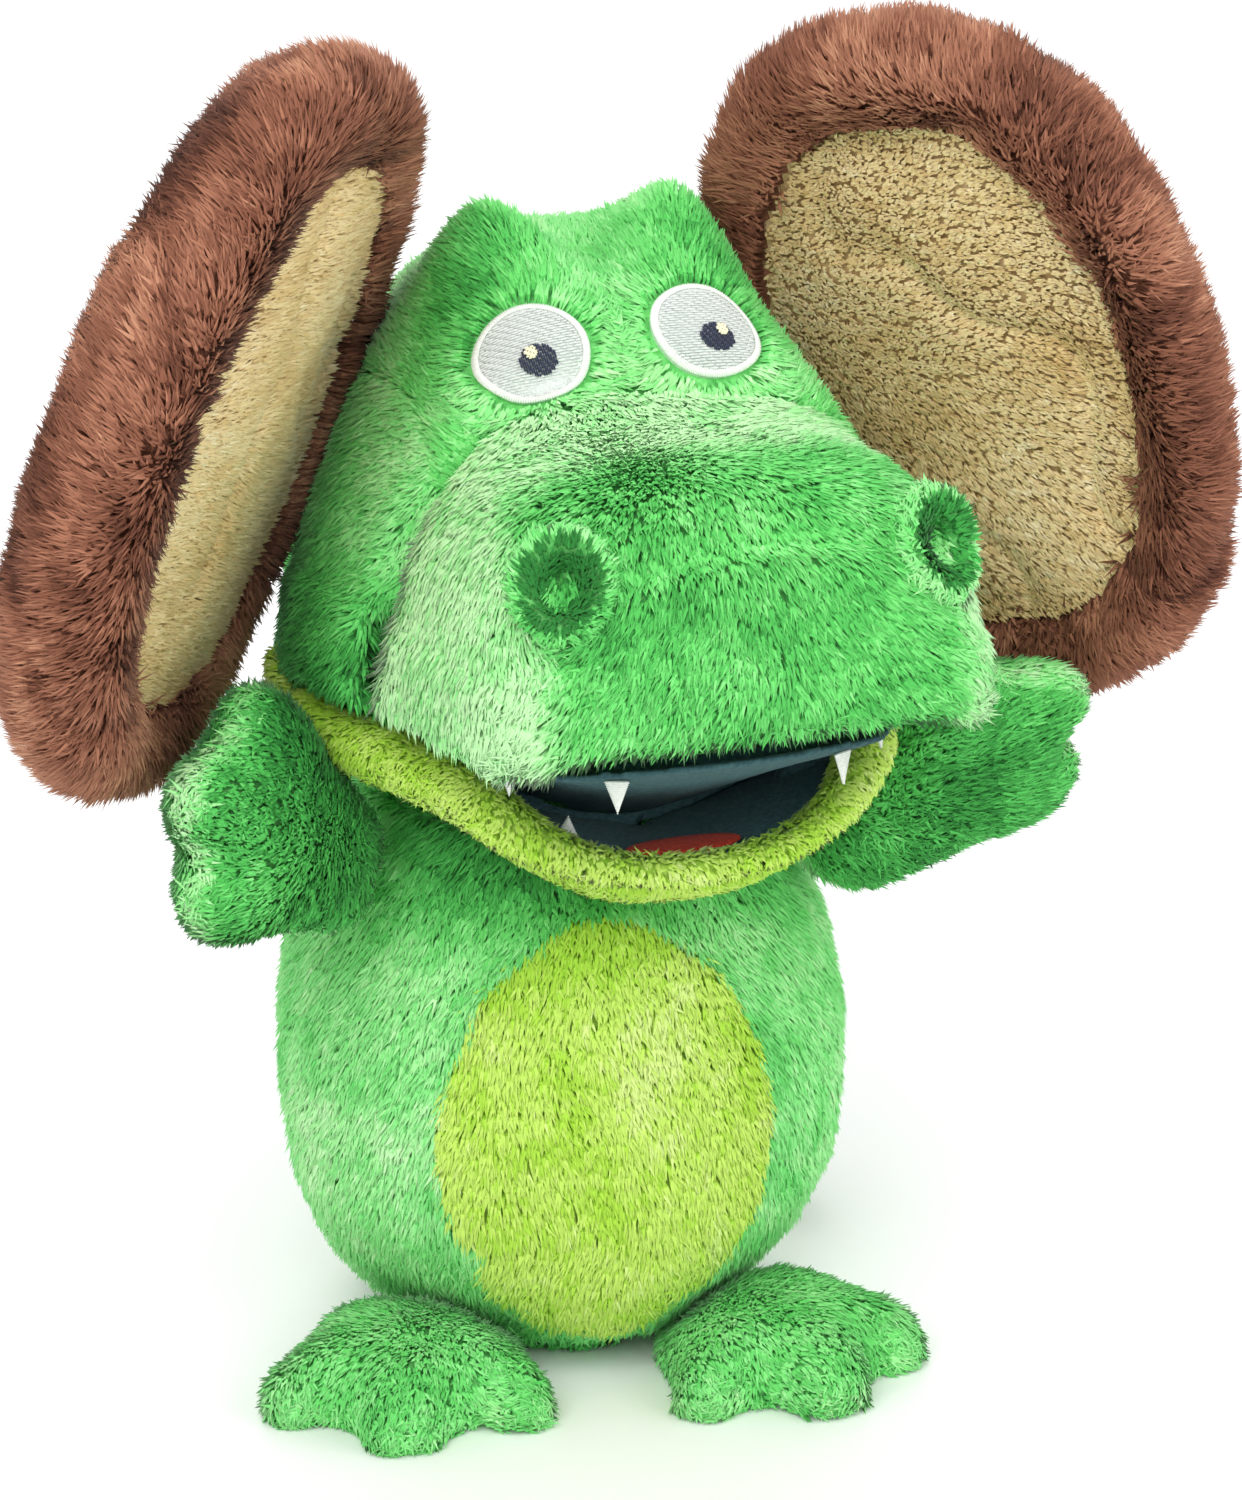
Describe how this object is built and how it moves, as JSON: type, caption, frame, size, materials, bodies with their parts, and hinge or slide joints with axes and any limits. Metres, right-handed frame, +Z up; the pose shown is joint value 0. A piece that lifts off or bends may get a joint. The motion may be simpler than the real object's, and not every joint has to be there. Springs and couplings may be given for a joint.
{
  "type": "moving mouth puppet",
  "caption": "Plush crocodile hand puppet with large round ears, an opening felt-lined mouth, raised mitten arms, toed feet and a weighted egg-shaped body.",
  "frame": {"origin": "middle of the flat base panel under the body, on the floor", "axes": "+Z up, -Y the way the body and its belly face, +X towards the viewer's right when seen from the front"},
  "size_m": [0.2415, 0.1919, 0.2694],
  "materials": {
    "green_plush": "short-pile green plush",
    "lime_plush": "short-pile yellow-green plush",
    "brown_plush": "brown plush, slightly longer pile",
    "tan_plush": "tan plush with a combed rib",
    "navy_felt": "dark blue-green felt",
    "white_embroidery": "white satin stitch",
    "navy_embroidery": "navy satin stitch",
    "red_felt": "red felt",
    "wadding": "loose polyester filling",
    "pellet_cloth": "plain woven bag of plastic pellets",
    "stiffener": "flexible board",
    "lining": "thin woven lining"
  },
  "bodies": {
    "body": {"body_front_skin": "green_plush", "body_back_skin": "green_plush", "belly_patch": "lime_plush", "body_base_panel": "green_plush", "body_stuffing": "wadding", "pellet_bag": "pellet_cloth"},
    "neck": {"neck_skin": "green_plush", "neck_stuffing": "wadding"},
    "head": {"crown_skin": "green_plush", "cheek_left": "green_plush", "cheek_right": "green_plush", "snout_skin": "green_plush", "head_base_panel": "green_plush", "opening_binding": "lining", "head_stuffing": "wadding", "snout_stuffing": "wadding", "hand_sleeve": "lining", "finger_pocket": "lining", "upper_mouth_plate": "stiffener", "upper_mouth_lining": "navy_felt", "eye_left": "white_embroidery", "eye_right": "white_embroidery", "pupil_left": "navy_embroidery", "pupil_right": "navy_embroidery", "nostril_left": "green_plush", "nostril_right": "green_plush", "lip_band_left": "lime_plush", "lip_band_right": "lime_plush", "tooth_upper_1": "white_embroidery", "tooth_upper_2": "white_embroidery", "tooth_upper_3": "white_embroidery", "tooth_upper_4": "white_embroidery"},
    "jaw": {"jaw_skin": "lime_plush", "lower_mouth_plate": "stiffener", "lower_mouth_lining": "navy_felt", "tongue": "red_felt", "thumb_pocket": "lining", "tooth_lower_1": "white_embroidery", "tooth_lower_2": "white_embroidery"},
    "ear_left": {"ear_left_back_skin": "brown_plush", "ear_left_face": "tan_plush", "ear_left_stuffing": "wadding"},
    "arm_left": {"arm_left_palm": "green_plush", "arm_left_back": "green_plush", "arm_left_stuffing": "wadding"},
    "foot_left": {"foot_left_sole": "green_plush", "foot_left_upper": "green_plush", "foot_left_stuffing": "wadding"},
    "ear_right": {"ear_right_back_skin": "brown_plush", "ear_right_face": "tan_plush", "ear_right_stuffing": "wadding"},
    "arm_right": {"arm_right_palm": "green_plush", "arm_right_back": "green_plush", "arm_right_stuffing": "wadding"},
    "foot_right": {"foot_right_sole": "green_plush", "foot_right_upper": "green_plush", "foot_right_stuffing": "wadding"},
    "tail": {"tail_skin": "green_plush", "tail_stuffing": "wadding"}
  },
  "joints": [
    {"name": "head_turn", "type": "hinge", "parent": "body", "child": "neck", "pos_m": [0, 0.008, 0.122], "axis": [0, 0, 1], "range_deg": [-6, 1], "stiffness_Nm_per_rad": 0.12},
    {"name": "head_nod", "type": "hinge", "parent": "neck", "child": "head", "pos_m": [0, 0.008, 0.122], "axis": [0.9877, 0.1564, 0], "range_deg": [-15, 2], "stiffness_Nm_per_rad": 0.35},
    {"name": "jaw_open", "type": "hinge", "parent": "head", "child": "jaw", "pos_m": [0.00688, -0.03546, 0.114], "axis": [0.9877, 0.1564, 0], "range_deg": [-12, 8], "stiffness_Nm_per_rad": 0.06},
    {"name": "ear_left_flap", "type": "hinge", "parent": "head", "child": "ear_left", "pos_m": [-0.04713, 0.01471, 0.187], "axis": [0.3859, 0.0611, 0.9205], "range_deg": [-30, 0], "stiffness_Nm_per_rad": 0.05},
    {"name": "arm_left_swing", "type": "hinge", "parent": "body", "child": "arm_left", "pos_m": [-0.05, -0.024, 0.108], "axis": [-0.7547, 0.6561, 0], "range_deg": [-35, 1], "stiffness_Nm_per_rad": 0.05},
    {"name": "foot_left_tilt", "type": "hinge", "parent": "body", "child": "foot_left", "pos_m": [-0.034, -0.02, 0], "axis": [-0.9703, 0.2419, 0], "range_deg": [-12, 5], "stiffness_Nm_per_rad": 0.05},
    {"name": "ear_right_flap", "type": "hinge", "parent": "head", "child": "ear_right", "pos_m": [0.04275, 0.02894, 0.187], "axis": [0.3134, 0.0496, -0.9483], "range_deg": [-30, 0], "stiffness_Nm_per_rad": 0.05},
    {"name": "arm_right_swing", "type": "hinge", "parent": "body", "child": "arm_right", "pos_m": [0.0535, -0.019, 0.104], "axis": [-0.4067, -0.9135, 0], "range_deg": [-40, 0], "stiffness_Nm_per_rad": 0.05},
    {"name": "foot_right_tilt", "type": "hinge", "parent": "body", "child": "foot_right", "pos_m": [0.029, -0.0225, 0], "axis": [-0.9511, -0.309, 0], "range_deg": [-12, 5], "stiffness_Nm_per_rad": 0.05},
    {"name": "tail_wag", "type": "hinge", "parent": "body", "child": "tail", "pos_m": [0, 0.06, 0.03], "axis": [0, 0, 1], "range_deg": [-8, 20], "stiffness_Nm_per_rad": 0.01}
  ]
}
